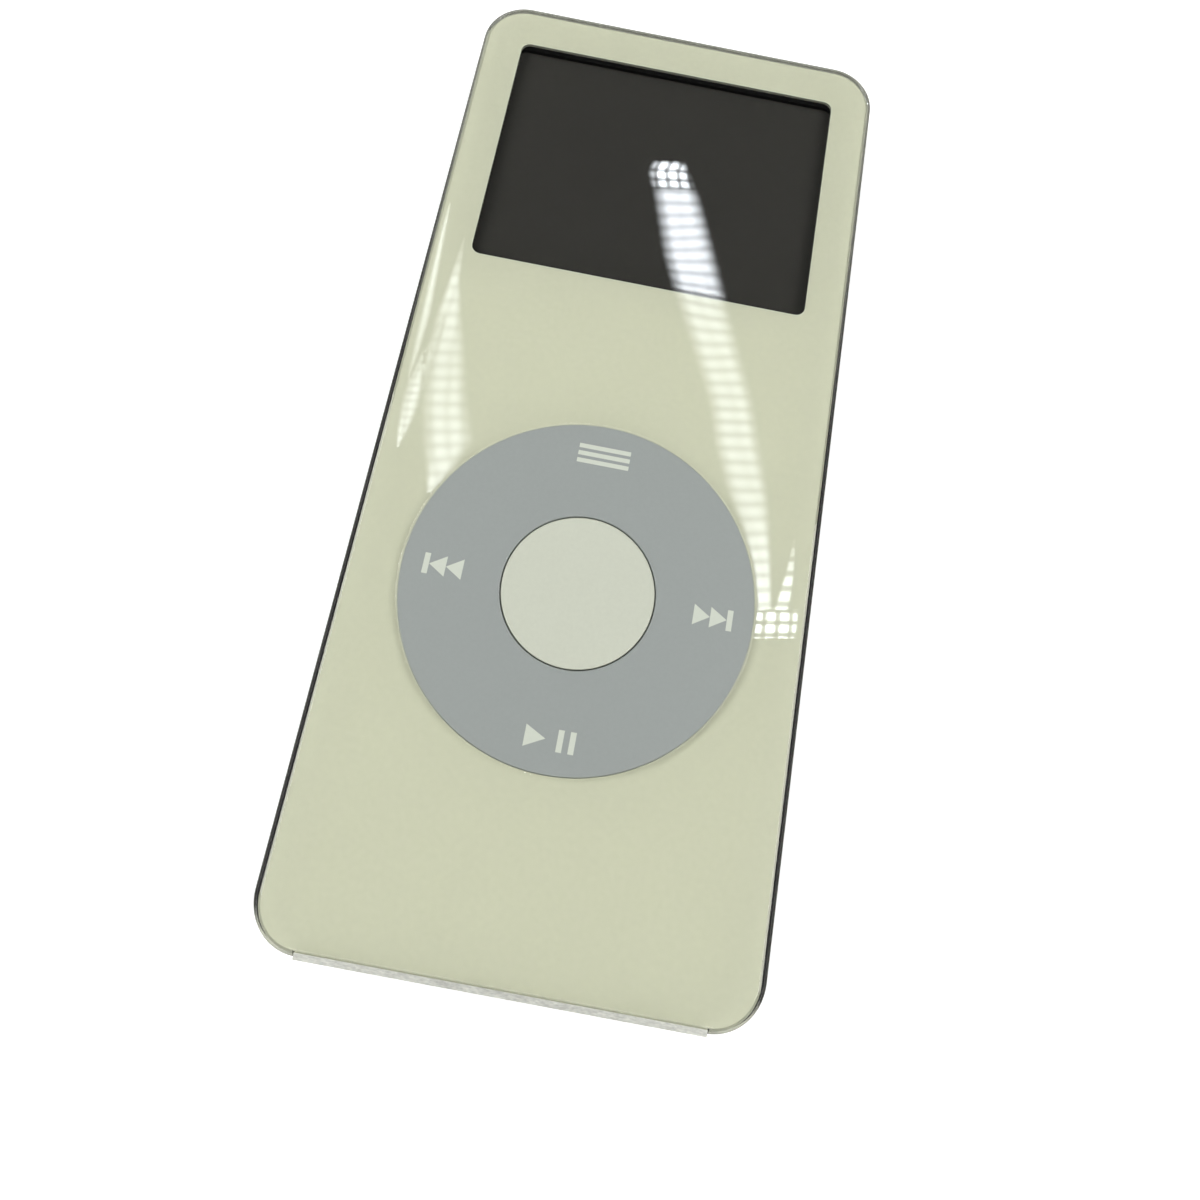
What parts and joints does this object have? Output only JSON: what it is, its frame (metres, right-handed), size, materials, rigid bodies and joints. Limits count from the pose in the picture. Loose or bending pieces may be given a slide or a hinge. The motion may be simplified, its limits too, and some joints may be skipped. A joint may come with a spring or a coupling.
{
  "type": "digital audio player",
  "caption": "Slim pocket digital audio player: clear-skinned face with a colour screen and a rocking touch ring with a select button, in a polished steel tub with dock and headphone ports.",
  "frame": {"origin": "centre of the back face", "axes": "+Y along the length towards the screen end, +Z through the thickness towards the front face, +X across the width to the right seen from the front"},
  "size_m": [0.04, 0.09, 0.0069],
  "materials": {
    "clear_plastic": "clear, glossy",
    "face_plastic": "smooth, cream-green",
    "button_plastic": "satin",
    "ring_plastic": "fine matte",
    "polished_steel": "polished, with fine scratches",
    "plain_steel": "plain",
    "screen_glass": "dark, glossy",
    "light_guide": "white",
    "foam": "matte black",
    "board": "green solder mask",
    "chip": "black epoxy",
    "black_plastic": "black",
    "gold": "plated",
    "flex": "amber film",
    "foil": "matt foil",
    "film": "amber film",
    "red_wire": "red",
    "black_wire": "black"
  },
  "bodies": {
    "case": {"front_panel": "clear_plastic", "front_backing": "face_plastic", "rear_cover": "polished_steel", "snap_frame": "plain_steel", "mid_frame": "plain_steel", "wheel_base": "plain_steel", "display_frame": "plain_steel", "dock_shell": "plain_steel", "crystal": "plain_steel", "screw_1": "plain_steel", "screw_2": "plain_steel", "screw_3": "plain_steel", "screw_4": "plain_steel", "dome_select": "plain_steel", "dome_up": "plain_steel", "dome_down": "plain_steel", "dome_left": "plain_steel", "dome_right": "plain_steel", "display_glass": "screen_glass", "display_backlight": "light_guide", "display_gasket": "foam", "battery_pad": "foam", "logic_board": "board", "battery_tab": "board", "processor": "chip", "memory_ram": "chip", "flash_memory_1": "chip", "flash_memory_2": "chip", "power_chip": "chip", "charge_chip": "chip", "audio_chip": "chip", "inductor": "chip", "dock_tongue": "black_plastic", "jack_housing": "black_plastic", "jack_collar": "black_plastic", "hold_switch": "black_plastic", "display_connector": "black_plastic", "battery_connector": "black_plastic", "wheel_connector": "black_plastic", "dock_contacts": "gold", "jack_terminal_1": "gold", "jack_terminal_2": "gold", "display_flex": "flex", "wheel_flex": "flex", "battery_pack": "foil", "insulating_film": "film", "battery_wire_1": "red_wire", "battery_wire_2": "black_wire"},
    "wheel_rocker": {"touch_board": "board"},
    "wheel": {"wheel_cap": "ring_plastic"},
    "select_button": {"centre_button": "button_plastic"},
    "hold_slider": {"hold_knob": "black_plastic", "hold_actuator": "black_plastic"}
  },
  "joints": [
    {"name": "ring_tilt_up_down", "type": "hinge", "parent": "case", "child": "wheel_rocker", "pos_m": [0, -0.01362, 0.0054], "axis": [1, 0, 0], "range_deg": [-0.8, 0.8], "stiffness_Nm_per_rad": 1},
    {"name": "ring_tilt_left_right", "type": "hinge", "parent": "wheel_rocker", "child": "wheel", "pos_m": [0, -0.01362, 0.0054], "axis": [0, 1, 0], "range_deg": [-0.8, 0.8], "stiffness_Nm_per_rad": 1},
    {"name": "select_press", "type": "slide", "parent": "case", "child": "select_button", "axis": [0, 0, -1], "range_m": [0, 0.0002], "stiffness_N_per_m": 1500},
    {"name": "hold_slide", "type": "slide", "parent": "case", "child": "hold_slider", "axis": [1, 0, 0], "range_m": [0, 0.002]}
  ]
}
